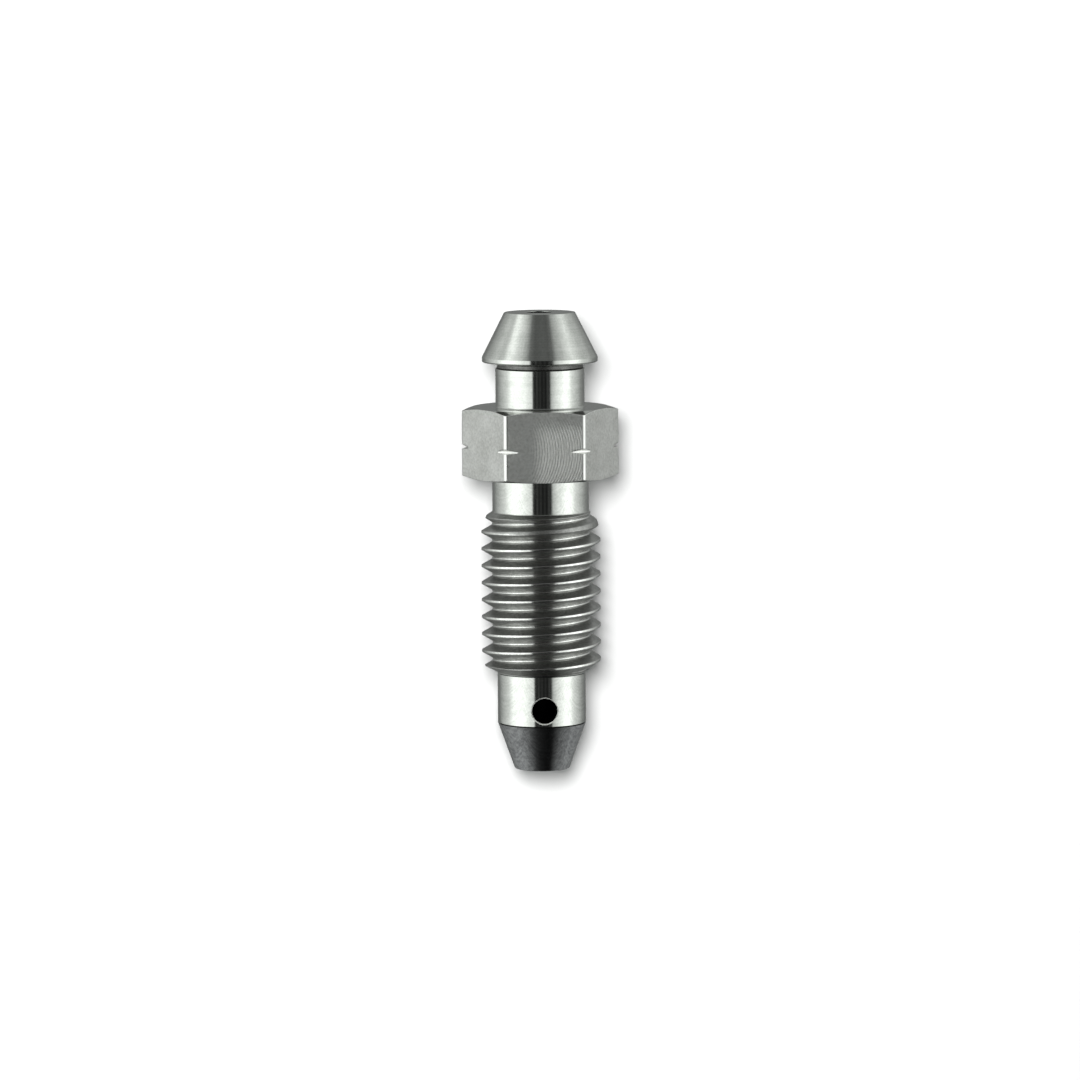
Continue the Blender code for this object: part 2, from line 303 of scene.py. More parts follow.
@dataclass
class Hexagon:
    """Hexagon of the bar, with chamfered ends and a fine groove turned into its corners.

    Fields beside its sizes:
        guard: distance of a row from the groove, which keeps the groove's shading off the flat, and
            the depth from which a cell counts as the groove's.
        rows: places of the rows on the way from an end of the hexagon to the groove, as shares.
        wall_rows: rows in the upper and in the lower wall of the groove.
        corner_columns: columns on a rounded corner.
        flat_columns: columns on a flat.
        flat_spacing: shares of even spacing and of spacing that tightens to the corners.
        guard_share: turn from a corner's end to the flat's first column, as a share of the turn
            from the corner to its end.
        groove_columns: places of the columns at the groove's ends, as shares of that turn.
    """

    across_flats: float = 8.0 * MM
    length: float = 4.12 * MM
    corner_rounding: float = 0.28 * MM
    upper_chamfer: float = 0.19 * MM
    lower_chamfer: float = 0.14 * MM
    edge: float = 0.04 * MM
    fillet: float = 0.1 * MM
    groove_station: float = 2.28 * MM
    groove_width: float = 0.28 * MM
    groove_upper_wall: float = 0.14 * MM
    groove_lower_wall: float = 0.06 * MM
    groove_depth: float = 0.28 * MM
    guard: float = 0.02 * MM
    rows: tuple[float, ...] = (0.15, 0.4, 0.65, 0.85, 1.0)
    wall_rows: tuple[int, int] = (9, 7)
    corner_columns: int = 7
    flat_columns: int = 25
    flat_spacing: tuple[float, float] = (0.8, 0.2)
    guard_share: float = 0.25
    groove_columns: tuple[float, ...] = (-1.0, -0.1, 0.1, 1.0)

    @property
    def flat_distance(self) -> float:
        """Distance from the axis to a flat."""
        return self.across_flats / 2

    @property
    def corner_centre(self) -> float:
        """Distance from the axis to the centre of a rounded corner."""
        return (self.flat_distance - self.corner_rounding) / np.cos(np.pi / 6)

    @property
    def corner_distance(self) -> float:
        """Distance from the axis to the tip of a rounded corner."""
        return self.corner_centre + self.corner_rounding

    def corner_reach(self) -> float:
        """Turn from a corner to the end of its rounding, where the flat starts."""
        across = self.corner_rounding * np.sin(np.pi / 6)
        return np.arctan2(across, self.corner_centre + self.corner_rounding * np.cos(np.pi / 6))

    def radius(self, turns: np.ndarray) -> np.ndarray:
        """Radius of the bar: a flat's distance over the cosine, or the far side of a corner circle.

        Args:
            turns: turns of the columns.

        Returns:
            Radius for each column.
        """
        from_flat = (turns + np.pi / 6) % (np.pi / 3) - np.pi / 6
        from_corner = np.pi / 6 - np.abs(from_flat)
        across = self.corner_centre * np.sin(from_corner)
        circle = np.sqrt(np.maximum(self.corner_rounding**2 - across**2, 0))
        corner = self.corner_centre * np.cos(from_corner) + circle
        flat = self.flat_distance / np.cos(from_flat)
        return np.where(from_corner < self.corner_reach(), corner, flat)

    def columns(self) -> np.ndarray:
        """Turns of the skin's columns, close together at the corners and wide on the flats.

        Returns:
            The turns, rising from half a turn to the left to half a turn to the right.
        """
        reach = self.corner_reach()
        corner = np.linspace(-reach, reach, self.corner_columns)
        guard = self.guard_share * reach
        share = np.linspace(-1, 1, self.flat_columns)
        even, tight = self.flat_spacing
        span = np.pi / 6 - reach - guard
        flat = np.pi / 6 + span * (even * share + tight * np.sin(share * np.pi / 2))
        floor_radius = self.corner_distance - self.groove_depth
        groove_end = np.pi / 6 - np.arccos(self.flat_distance / floor_radius)
        ends = groove_end + np.array(self.groove_columns) * guard
        sixth = [corner[corner >= 0], flat, ends, np.pi / 3 - ends, np.pi / 3 + corner[corner < 0]]
        starts = np.arange(-3, 3) * np.pi / 3 + np.pi / 6
        turns = (starts[:, None] + np.concatenate(sixth)[None]).ravel()
        turns = np.sort((turns + np.pi) % TAU - np.pi)
        least_gap = 1e-6
        inner = turns[(turns > -np.pi + least_gap) & (turns < np.pi - least_gap)]
        return np.concatenate([[-np.pi], inner, [np.pi]])

    def corner_cells(self, turns: np.ndarray) -> np.ndarray:
        """Tells for each gap between two columns whether it lies on a rounded corner."""
        middle = (turns[1:] + turns[:-1]) / 2
        return np.abs(middle % (np.pi / 3) - np.pi / 6) < self.corner_reach()

    def band(
        self,
        turns: np.ndarray,
        start: tuple[float, float],
        end: tuple[float, float],
        station: float,
    ) -> Band:
        """Outline from the neck, over the hexagon, to the shank.

        Args:
            turns: turns of the columns.
            start: radius and station on the neck where the band starts.
            end: radius and station on the shank where it ends.
            station: station of the hexagon's upper face.

        Returns:
            The band.
        """
        radius = self.radius(turns)
        corner_height = self.corner_distance - self.flat_distance
        share = np.maximum(radius - self.flat_distance, 0) / corner_height
        foot = station + self.length
        upper = [
            start,
            (start[0], station),
            (self.flat_distance, station),
            (radius, station + share * self.upper_chamfer),
        ]
        middle = station + self.groove_station
        reach = self.groove_width / 2 + self.guard
        top, bottom = upper[-1][1], foot - share * self.lower_chamfer
        above = [(radius, top + (middle - reach - top) * part) for part in self.rows]
        below = [
            (radius, middle + reach + (bottom - middle - reach) * (1 - part))
            for part in self.rows[::-1]
        ]
        groove = [*above, *self.groove(radius, middle), *below]
        lower = [
            (radius, bottom),
            (self.flat_distance, foot),
            (end[0], foot),
            end,
        ]
        corners = spread([*upper, *groove, *lower], len(turns))
        radii = [0, self.fillet, self.edge, self.edge] + [0] * len(groove)
        radii += [self.edge, self.edge, self.fillet, 0]
        outline, owners = rounded(corners, radii)
        first, last = len(upper) - 1, len(upper) + len(groove)
        regions = [
            Region.MILLED if first <= owner < last or owner == following == last else Region.TURNED
            for owner, following in zip(owners, owners[1:])
        ]
        numbers = cells(regions, len(turns))
        bar = self.radius((turns[1:] + turns[:-1]) / 2)
        smooth = self.corner_cells(turns) | (cell_means(outline[..., 0]) < bar - self.guard)
        drawn = smooth & (numbers == Region.MILLED.value)
        return Band(outline, np.where(drawn, Region.DRAWN.value, numbers))

    def groove(self, radius: np.ndarray, station: float) -> list[Corner]:
        """Outline of the groove: sloping walls and a flat floor, cut only where the bar reaches.

        The groove's radius falls in a straight line down each wall, and a row takes the bar's own
        radius where that is less.

        Args:
            radius: radius of the bar in each column.
            station: station of the groove's middle.

        Returns:
            Pairs of radius and station.
        """
        half, guard = self.groove_width / 2, self.guard / 2
        upper, lower = self.groove_upper_wall - half, half - self.groove_lower_wall
        above, below = self.wall_rows
        walls = np.linspace(-half, upper, above), np.linspace(lower, half, below)
        offsets = np.concatenate([walls[0], [upper + guard, lower - guard], walls[1]])
        depth = self.groove_depth * np.interp(offsets, [-half, upper, lower, half], [0, 1, 1, 0])
        cut = self.corner_distance - depth
        return [(np.minimum(radius, low), station + offset) for low, offset in zip(cut, offsets)]


@dataclass
class Thread:
    """Right-hand M7 x 1 thread and the shank above it.

    Fields beside its sizes:
        bright_root: height above a root's bottom up to which it is painted bright, as a highlight.
        end_step: greatest distance between two rows near the thread's ends.
    """

    shank_length: float = 2.0 * MM
    shank_relief: float = 0.02 * MM
    major_diameter: float = 6.97 * MM
    pitch: float = 1.0 * MM
    length: float = 9.43 * MM
    start_relief: float = 0.29 * MM
    start_chamfer: float = 0.25 * MM
    start_taper: float = 0.9 * MM
    end_chamfer: float = 0.45 * MM
    first_crest: float = 0.94 * MM
    depth_per_pitch: float = 0.64
    crest_per_pitch: float = 0.125
    flank_angle: float = np.radians(30)
    crest_edge: float = 0.03 * MM
    bright_root: float = 0.035 * MM
    end_step: float = 0.04 * MM
    fillet: float = 0.1 * MM

    @property
    def major_radius(self) -> float:
        """Radius of the crests."""
        return self.major_diameter / 2

    @property
    def root_radius(self) -> float:
        """Radius of the roots."""
        return self.major_radius - self.depth_per_pitch * self.pitch

    @property
    def shank_radius(self) -> float:
        """Radius of the shank, a little under the roots."""
        return self.root_radius - self.shank_relief

    def profile(self) -> np.ndarray:
        """One pitch of the thread from crest to crest: flat crests, straight flanks, round root.

        Returns:
            Array (rows, 2) of radius and distance along the axis.
        """
        half_crest = self.crest_per_pitch * self.pitch / 2
        vee = (self.pitch / 2 - half_crest) / np.tan(self.flank_angle)
        depth = self.depth_per_pitch * self.pitch
        root_rounding = (vee - depth) / (1 / np.sin(self.flank_angle) - 1)
        radius = self.major_radius
        half = [(radius, 0), (radius, half_crest), (radius - vee, self.pitch / 2)]
        other = [(radius, self.pitch - half_crest), (radius, self.pitch)]
        crest, _ = rounded(spread(half, 1), [0, self.crest_edge, 0], steps=2)
        root, _ = rounded(spread([half[1], half[2], other[0]], 1), [0, root_rounding, 0], steps=7)
        crest, root = crest[:-1, 0], root[1:-1, 0]
        mirrored = np.stack([crest[::-1, 0], self.pitch - crest[::-1, 1]], axis=-1)
        return np.concatenate([crest, root, mirrored])

    def offsets(self, profile: np.ndarray, start: float, end: float) -> np.ndarray:
        """Rows of the helix: the profile's rows in every pitch, and more of them near both ends.

        Args:
            profile: one pitch of the thread.
            start: distance of the thread's start before the first crest.
            end: distance of its end after the first crest.

        Returns:
            Distances along the axis from the first crest, rising.
        """
        half = self.pitch / 2
        first, last = np.floor((start - half) / self.pitch), np.ceil((end + half) / self.pitch)
        rows = np.arange(first, last)[:, None] * self.pitch + profile[None, :, 1]
        decimals = 12
        rows = np.unique(np.round(rows.ravel(), decimals))
        run_in, run_out = self.start_chamfer + self.start_taper + half, self.end_chamfer + half
        ends = (rows < start + run_in) | (rows > end - run_out)
        extra = []
        for low, high, near_end in zip(rows, rows[1:], ends):
            parts = int(np.ceil((high - low) / self.end_step)) if near_end else 1
            extra.append(low + (high - low) * np.arange(parts) / parts)
        return np.append(np.concatenate(extra), rows[-1])

    def band(
        self, turns: np.ndarray, start: float, station: float, end: tuple[float, float]
    ) -> Band:
        """Outline from the shank, over the thread, to the land.

        A row of the thread follows the helix: its station falls by one pitch for a whole turn. The
        radius is the thread's profile, or the turned blank with its chamfered ends where that is
        less, and rows past an end close up on it. Crests and the bottoms of the roots are painted
        bright as highlight lines, and the flanks darker as shade.

        Args:
            turns: turns of the columns.
            start: station on the shank where the band starts.
            station: station of the thread's upper end.
            end: radius and station on the land where the band ends.

        Returns:
            The band.
        """
        foot = station + self.length
        profile = self.profile()
        offsets = self.offsets(profile, -self.first_crest, self.length - self.first_crest)
        stations = station + self.first_crest + offsets[:, None] - self.pitch * turns[None] / TAU
        cut = np.interp(offsets % self.pitch, profile[:, 1], profile[:, 0])[:, None]
        stations = np.clip(stations, station, foot)
        taper = station + self.start_chamfer
        reach = [station, taper, taper + self.start_taper, foot - self.end_chamfer, foot]
        start_radius = self.major_radius - self.start_relief
        radii = [self.shank_radius, start_radius, self.major_radius, self.major_radius, end[0]]
        blank = np.interp(stations, reach, radii)
        thread = np.stack([np.minimum(cut, blank), stations], axis=-1)
        shank = [(self.shank_radius, start), (self.shank_radius, station - self.fillet)]
        above = spread(shank, len(turns))
        below = spread([(end[0], foot + self.fillet), end], len(turns))
        turned = cells([Region.TURNED] * 2, len(turns))
        # Crests and root bottoms are painted bright as highlight lines, the flanks darker as shade.
        crests = cell_means(thread[..., 0]) > self.major_radius - self.crest_edge
        helix = np.where(cut < blank, cut, self.major_radius)
        roots = cell_means(helix) < self.root_radius + self.bright_root
        threaded = np.where(crests | roots, Region.PAINTED_HIGHLIGHT_LINES.value, Region.PAINTED_SHADE_FLANKS.value)
        return Band(np.concatenate([above, thread, below]), np.concatenate([turned, threaded, turned]))


@dataclass
class SealingEnd:
    """Land with the cross hole, and the ground cone that seals on its seat.

    Fields beside its sizes:
        tip_inset: how far the tip's corner lies inside the tip's diameter, as a share of its edge.
        shoulder_room: distance from the cross hole's window to the shoulder.
        shoulder_line: gaps between rows that are painted dark, as a line of shade at the shoulder.
        window_rows: rows of the land in the window, with the two at its ends.
    """

    land_length: float = 3.0 * MM
    land_relief: float = 0.26 * MM
    half_angle: float = np.radians(20.5)
    tip_diameter: float = 3.22 * MM
    tip_edge: float = 0.14 * MM
    tip_inset: float = 0.05
    shoulder_rounding: float = 0.3 * MM
    shoulder_room: float = 0.085 * MM
    shoulder_line: int = 3
    window_rows: int = 13

    def length(self, land_radius: float) -> float:
        """Length of the cone and the edge of the tip."""
        return (land_radius - self.tip_diameter / 2) / np.tan(self.half_angle) + self.tip_edge

    def band(
        self,
        start: tuple[float, float],
        window: tuple[float, float],
        station: float,
        columns: int,
    ) -> Band:
        """Outline from the land, over the cone, to the middle of the tip.

        The last gaps between rows of the shoulder are painted dark, as a line of shade at the shoulder.

        Args:
            start: radius and station on the land where the band starts.
            window: first and last station of the window for the cross hole.
            station: station of the cone's upper end.
            columns: number of columns.

        Returns:
            The band.
        """
        land_radius = start[0]
        foot = station + self.length(land_radius)
        rows = [(land_radius, level) for level in np.linspace(*window, self.window_rows)]
        corners = [
            start,
            *rows,
            (land_radius, station),
            (self.tip_diameter / 2 - self.tip_inset * self.tip_edge, foot),
            (0, foot),
        ]
        radii = [0] * (1 + len(rows)) + [self.shoulder_rounding, self.tip_edge, 0]
        outline, owners = rounded(spread(corners, columns), radii, steps=5)
        cone = owners.index(len(rows) + 2) - 1
        line = self.shoulder_line
        # The last gaps before the cone are painted dark: a painted shade line at the shoulder.
        regions = [Region.TURNED] * (cone - line) + [Region.PAINTED_SHADE_DARK] * line
        regions += [Region.GROUND] * (len(outline) - 1 - cone)
        return Band(outline, cells(regions, columns))


@dataclass
class Drilling:
    """Blind bore from the hose end, and the cross hole that meets it.

    Fields beside its sizes:
        window_margin: distance from the cross hole to the ends of the bore's window.
        window_turn: turn from the front to the sides of the bore's window.
        window_reach: the same for the land's window, as a share of the turn to the rim's edge.
        loop_points: points in each loop of the cross hole.
        land_shares: places of the loops from the window's edge (1) to the rim (0).
        rim_land: width of the ring of land that is painted pale with the rim, as a highlight.
        rim_shares: places of the loops down the rim's chamfer, 1 at the land and 0 at the wall.
        wall_shares: places of the loops down the wall, 1 at the bore.
    """

    bore_diameter: float = 1.5 * MM
    cross_hole_diameter: float = 1.48 * MM
    cross_hole_from_seat: float = 0.94 * MM
    past_cross_hole: float = 0.15 * MM
    point_half_angle: float = np.radians(59)
    rim_edge: float = 0.06 * MM
    window_margin: float = 0.05 * MM
    window_turn: float = np.radians(88)
    window_reach: float = 1.3
    loop_points: int = 144
    land_shares: tuple[float, ...] = (0.75, 0.5, 0.25)
    rim_land: float = 0.01 * MM
    rim_shares: tuple[float, ...] = (1.0, 0.9, 0.1, 0.0)
    wall_shares: tuple[float, ...] = (0.02, 0.35, 0.7, 1.0)

    @property
    def bore_radius(self) -> float:
        """Radius of the bore."""
        return self.bore_diameter / 2

    @property
    def hole_radius(self) -> float:
        """Radius of the cross hole."""
        return self.cross_hole_diameter / 2

    def bore_window(self, station: float) -> tuple[float, float]:
        """First and last station of the window in the bore's wall."""
        reach = self.hole_radius + self.window_margin
        return station + reach, station - reach

    def band(self, station: float, end: float, columns: int) -> Band:
        """Outline of the bore from the drill's point up to just inside the hose end.

        Args:
            station: station of the cross hole.
            end: station inside the hose end where the band ends.
            columns: number of columns.

        Returns:
            The band.
        """
        radius = self.bore_radius
        depth = station + self.hole_radius + self.past_cross_hole
        point = depth + radius / np.tan(self.point_half_angle)
        low, high = self.bore_window(station)
        corners = [(0, point), (radius, depth), (radius, low), (radius, high), (radius, end)]
        # The bore's wall is painted dark: painted shade inside the hole.
        return Band(spread(corners, columns), cells([Region.PAINTED_SHADE_DARK] * (len(corners) - 1), columns))

    def loops(
        self, place: Placement, station: float, land_radius: float, window: tuple[float, float]
    ) -> np.ndarray:
        """Loops of the cross hole from the land, over its rim and down its wall, to the bore.

        On the land a loop is a blend, in the unrolled surface, of the rim and the window's edge.
        The rim is a narrow ring of the land and a chamfer, and each wall point goes straight in
        until it meets the bore, at the root of bore radius squared less across squared.

        Args:
            place: where the screw lies.
            station: station of the cross hole.
            land_radius: radius of the land.
            window: half width round the land and half height along the axis of its window.

        Returns:
            Array (loops, points, 3), the outermost loop first.
        """
        angle = np.linspace(-np.pi, np.pi, self.loop_points, endpoint=False)
        edge, radius = self.rim_edge, self.hole_radius
        outer = radius + edge + self.rim_land
        rim_across, rim_along = outer * np.cos(angle), outer * np.sin(angle)
        rim = np.stack([land_radius * np.arcsin(rim_across / land_radius), rim_along], axis=-1)
        direction = rim / np.linalg.norm(rim, axis=-1, keepdims=True)
        frame_edge = direction / np.abs(direction / np.array(window)).max(axis=-1, keepdims=True)
        loops = []
        for share in (*self.land_shares, 0.0):
            around, along = ((1 - share) * rim + share * frame_edge).T
            loops.append(place.turned(land_radius, around / land_radius, station + along))
        for share in self.rim_shares:
            reach = radius + edge * share
            across, along = reach * np.cos(angle), reach * np.sin(angle)
            out = np.sqrt(land_radius**2 - across**2) - edge * (1 - share)
            loops.append(place.points(across, out, station + along))
        across, along = radius * np.cos(angle), radius * np.sin(angle)
        mouth = np.sqrt(land_radius**2 - across**2) - edge
        inner = np.sqrt(self.bore_radius**2 - across**2)
        for share in self.wall_shares:
            loops.append(place.points(across, mouth + share * (inner - mouth), station + along))
        return np.array(loops)

    def loop_regions(self) -> list[Region]:
        """Regions of the cross hole, from the land to the bore.

        Returns:
            One Region for each gap between two loops.
        """
        land = [Region.TURNED] * len(self.land_shares)
        # The rim is painted pale as a highlight ring, the wall dark as shade inside the hole.
        rim = [Region.PAINTED_HIGHLIGHT_RIM] * len(self.rim_shares)
        return [*land, *rim, *[Region.PAINTED_SHADE_DARK] * len(self.wall_shares)]


def stitch(
    outer: np.ndarray, outer_angle: np.ndarray, inner: np.ndarray, inner_angle: np.ndarray
) -> np.ndarray:
    """Triangles between two closed loops with any numbers of points.

    Both loops are walked in order of angle, and each edge of one takes the point of the other
    that the walk has reached by then.

    Args:
        outer: vertex numbers of the outer loop.
        outer_angle: angle of each.
        inner: vertex numbers of the inner loop.
        inner_angle: angle of each.

    Returns:
        Array (triangles, 3) of vertex numbers.
    """
    order_out, order_in = np.argsort(outer_angle), np.argsort(inner_angle)
    outer, outer_angle = outer[order_out], outer_angle[order_out]
    inner, inner_angle = inner[order_in], inner_angle[order_in]
    next_out = np.append(outer_angle[1:], outer_angle[0] + TAU)
    next_in = np.append(inner_angle[1:], inner_angle[0] + TAU)
    reached_in = np.searchsorted(next_in, next_out, side="left") % len(inner)
    reached_out = np.searchsorted(next_out, next_in, side="right") % len(outer)
    from_out = np.stack([outer, np.roll(outer, -1), inner[reached_in]], axis=-1)
    from_in = np.stack([inner, np.roll(inner, -1), outer[reached_out]], axis=-1)
    return np.concatenate([from_out, from_in])


@dataclass
class BleederScrew:
    """The whole screw: its stretches, the stations where they meet, and its skin."""

    place: Placement
    hose_end: HoseEnd = field(default_factory=HoseEnd)
    hexagon: Hexagon = field(default_factory=Hexagon)
    thread: Thread = field(default_factory=Thread)
    sealing_end: SealingEnd = field(default_factory=SealingEnd)
    drilling: Drilling = field(default_factory=Drilling)

    @property
    def land_radius(self) -> float:
        """Radius of the land, under the thread's roots."""
        return self.thread.root_radius - self.sealing_end.land_relief

    def stations(self) -> dict[str, float]:
        """Stations where the stretches of the screw start.

        Returns:
            A station for each name. The hole's is its middle's.
        """
        hexagon = self.hose_end.length
        shank = hexagon + self.hexagon.length
        thread = shank + self.thread.shank_length
        land = thread + self.thread.length
        seat = land + self.sealing_end.land_length
        hole = seat - self.drilling.cross_hole_from_seat
        end = seat + self.sealing_end.length(self.land_radius)
        return {
            "hexagon": hexagon,
            "shank": shank,
            "thread": thread,
            "land": land,
            "hole": hole,
            "seat": seat,
            "end": end,
        }

    def bands(self, turns: np.ndarray, land_window: tuple[float, float]) -> list[Band]:
        """The outline's bands in order from the point of the bore to the tip.

        Args:
            turns: turns of the columns.
            land_window: first and last station of the window in the land.

        Returns:
            The bands. Each starts where the one before ends.
        """
        at = self.stations()
        count = len(turns)
        bore_end = 1 * MM
        neck = (self.hose_end.neck_radius, self.hose_end.neck_middle)
        shank = (self.thread.shank_radius, (at["shank"] + at["thread"]) / 2)
        land = (self.land_radius, (at["land"] + land_window[0]) / 2)
        return [
            self.drilling.band(at["hole"], bore_end, count),
            self.hose_end.band(self.drilling.bore_radius, bore_end, count),
            self.hexagon.band(turns, neck, shank, at["hexagon"]),
            self.thread.band(turns, shank[1], at["thread"], land),
            self.sealing_end.band(land, land_window, at["seat"], count),
        ]

    def mesh(self) -> bpy.types.Mesh:
        """The skin: the swept outline, less two windows, and the cross hole between them.

        Returns:
            A closed mesh with a material number for every region and, as an attribute in
            millimetres, the distances across the nearest flat, along the outline and along the axis.
        """
        turns = self.hexagon.columns()
        at = self.stations()
        hole = at["hole"]
        half_height = at["seat"] - hole - self.sealing_end.shoulder_room
        reach = (hole - half_height, hole + half_height)
        bands = self.bands(turns, reach)
        outline = np.concatenate([bands[0].outline, *[band.outline[1:] for band in bands[1:]]])
        regions = np.concatenate([band.regions for band in bands])
        points = self.place.turned(outline[..., 0], turns[None], outline[..., 1])
        rows, columns = outline.shape[:2]
        numbers = np.arange(rows * columns).reshape(rows, columns)

        windows = self.windows(outline, turns, reach, rows - len(bands[-1].outline))
        kept = np.ones((rows - 1, columns - 1), bool)
        for (r0, r1), (c0, c1) in windows:
            kept[r0:r1, c0:c1] = False
        corner = numbers[:-1, :-1][kept]
        quads = np.stack([corner, corner + columns, corner + columns + 1, corner + 1], axis=-1)

        (window_row, _), (_, window_column) = windows[0]
        half_width = turns[window_column] * self.land_radius
        loops = self.drilling.loops(self.place, hole, self.land_radius, (half_width, half_height))
        count = self.drilling.loop_points
        ring = numbers.size + np.arange(len(loops) * count).reshape(-1, count)
        following = np.roll(ring, -1, axis=1)
        ring_quads = np.stack([ring[:-1], ring[1:], following[1:], following[:-1]], axis=-1)
        ring_regions = np.repeat([region.value for region in self.drilling.loop_regions()], count)
        radii = (self.land_radius, self.drilling.bore_radius)
        seams = []
        for window, row, radius in zip(windows, (0, -1), radii):
            edge = self.window_edge(numbers, *window)
            grid_turns = np.broadcast_to(turns, numbers.shape).ravel()[edge]
            edge_angle = np.arctan2(outline[..., 1].ravel()[edge] - hole, grid_turns * radius)
            loop_angle = self.loop_angles(loops[row], radius)
            seams.append(stitch(edge, edge_angle, ring[row], loop_angle))
        triangles = np.concatenate(seams)
        # The seam into the bore is painted dark like its wall: painted shade.
        seam_regions = [Region.TURNED.value, Region.PAINTED_SHADE_DARK.value]
        triangle_regions = np.repeat(seam_regions, [len(seam) for seam in seams])

        mesh = bpy.data.meshes.new("skin")
        all_points = np.concatenate([points.reshape(-1, 3), loops.reshape(-1, 3)])
        faces = [*quads.tolist(), *ring_quads.reshape(-1, 4).tolist(), *triangles.tolist()]
        mesh.from_pydata(all_points.tolist(), [], faces)
        face_regions = np.concatenate([regions[kept], ring_regions, triangle_regions])
        mesh.polygons.foreach_set("material_index", face_regions.astype(np.int32))
        cut = self.cut_places(outline, turns, loops, window_row)
        attribute = mesh.attributes.new("cut_mm", "FLOAT_VECTOR", "POINT")
        attribute.data.foreach_set("vector", cut.ravel().astype(np.float32))
        self.weld(mesh)
        return mesh

    def windows(
        self, outline: np.ndarray, turns: np.ndarray, reach: tuple[float, float], first: int
    ) -> list[tuple[tuple[int, int], tuple[int, int]]]:
        """Where the cross hole's windows lie in the grid: one in the land and one in the bore.

        Args:
            outline: the whole outline.
            turns: turns of the columns.
            reach: first and last station of the land's window.
            first: row from which to look for the land's window.

        Returns:
            For each window its first and last row, and its first and last column.
        """
        drilling = self.drilling
        rim_turn = np.arcsin((drilling.hole_radius + drilling.rim_edge) / self.land_radius)
        bore_reach = drilling.bore_window(self.stations()["hole"])
        return [
            (
                self.rows_between(outline, first, reach, self.land_radius),
                self.columns_within(turns, drilling.window_reach * rim_turn),
            ),
            (
                self.rows_between(outline, 0, bore_reach, drilling.bore_radius),
                self.columns_within(turns, drilling.window_turn),
            ),
        ]

    def loop_angles(self, loop: np.ndarray, radius: float) -> np.ndarray:
        """Angles of a loop's points round the cross hole, in the unrolled surface.

        Args:
            loop: places of the points.
            radius: radius of the surface.

        Returns:
            An angle for each point.
        """
        from_face = loop - self.place.face
        turn = np.arctan2(from_face @ self.place.side, from_face @ self.place.front)
        height = -(from_face @ self.place.axis) - self.stations()["hole"]
        return np.arctan2(height, turn * radius)

    def cut_places(
        self, outline: np.ndarray, turns: np.ndarray, loops: np.ndarray, window_row: int
    ) -> np.ndarray:
        """Where each point lies for the tools that cut it, in millimetres.

        Args:
            outline: the whole outline.
            turns: turns of the columns.
            loops: loops of the cross hole.
            window_row: first row of the land's window, from which the loops' distances go on.

        Returns:
            Array (points, 3) of the distance across the nearest flat, the distance walked along
            the outline, and the station.
        """
        steps = np.linalg.norm(np.diff(outline, axis=0), axis=-1)
        along = np.concatenate([np.zeros((1, len(turns))), np.cumsum(steps, axis=0)]) / MM
        from_flat = (turns + np.pi / 6) % (np.pi / 3) - np.pi / 6
        across = outline[..., 0] * np.sin(from_flat) / MM
        grid = np.stack([across, along, outline[..., 1] / MM], axis=-1)
        stations = -((loops - self.place.face) @ self.place.axis)
        hole_along = along[window_row, 0] + (stations - outline[window_row, 0, 1]) / MM
        hole = np.stack([np.zeros_like(stations), hole_along, stations / MM], axis=-1)
        return np.concatenate([grid.reshape(-1, 3), hole.reshape(-1, 3)])

    @staticmethod
    def rows_between(
        outline: np.ndarray, first: int, window: tuple[float, float], radius: float
    ) -> tuple[int, int]:
        """Rows of the grid at both ends of a window.

        Args:
            outline: the whole outline.
            first: row from which to look.
            window: the two stations.
            radius: radius of the rows that are looked for.

        Returns:
            Numbers of the two rows, the lower one first.
        """
        middle = outline.shape[1] // 2
        radii, stations = outline[first:, middle].T
        off = np.abs(radii - radius)
        found = [first + int(np.argmin(off + np.abs(stations - station))) for station in window]
        return min(found), max(found)

    @staticmethod
    def columns_within(turns: np.ndarray, reach: float) -> tuple[int, int]:
        """Columns nearest to the front on both sides that lie outside a turn."""
        inside = np.flatnonzero(np.abs(turns) < reach)
        return int(inside[0]) - 1, int(inside[-1]) + 1

    @staticmethod
    def window_edge(
        numbers: np.ndarray, rows: tuple[int, int], columns: tuple[int, int]
    ) -> np.ndarray:
        """Vertex numbers round a window, each once.

        Args:
            numbers: vertex numbers of the grid.
            rows: first and last row of the window.
            columns: first and last column.

        Returns:
            The numbers, side by side.
        """
        (r0, r1), (c0, c1) = rows, columns
        sides = [
            numbers[r0, c0:c1],
            numbers[r0:r1, c1],
            numbers[r1, c0 + 1 : c1 + 1],
            numbers[r0 + 1 : r1 + 1, c0],
        ]
        return np.concatenate(sides)

    @staticmethod
    def split_long_edges(work: bmesh.types.BMesh) -> None:
        """Cuts each open edge where other open points lie on it, so that both sides can join.

        The thread has more rows near its ends, and there one side of the seam has points that the
        other lacks. All of them lie on straight flanks, so the cuts change no shape.

        Args:
            work: the mesh, which is changed.
        """
        edges = [edge for edge in work.edges if edge.is_boundary]
        points = {point for edge in edges for point in edge.verts}
        for edge in edges:
            start, end = edge.verts
            span = end.co - start.co
            shares = []
            for point in points - {start, end}:
                share = (point.co - start.co).dot(span) / span.length_squared
                if 0 < share < 1 and (start.co + share * span - point.co).length < NEAREST:
                    shares.append(share)
            whole = 1.0
            for share in sorted(shares, reverse=True):
                edge, _ = bmesh.utils.edge_split(edge, start, share / whole)
                whole = share

    @classmethod
    def weld(cls, mesh: bpy.types.Mesh) -> None:
        """Joins points that coincide at the seam, the poles and the thread's ends.

        The loose points inside the windows go first.

        Args:
            mesh: the mesh, which is changed.
        """
        work = bmesh.new()
        work.from_mesh(mesh)
        loose = [point for point in work.verts if not point.link_faces]
        bmesh.ops.delete(work, geom=loose, context="VERTS")
        bmesh.ops.remove_doubles(work, verts=work.verts, dist=NEAREST)
        cls.split_long_edges(work)
        bmesh.ops.remove_doubles(work, verts=work.verts, dist=NEAREST)
        bmesh.ops.recalc_face_normals(work, faces=work.faces)
        work.to_mesh(mesh)
        work.free()

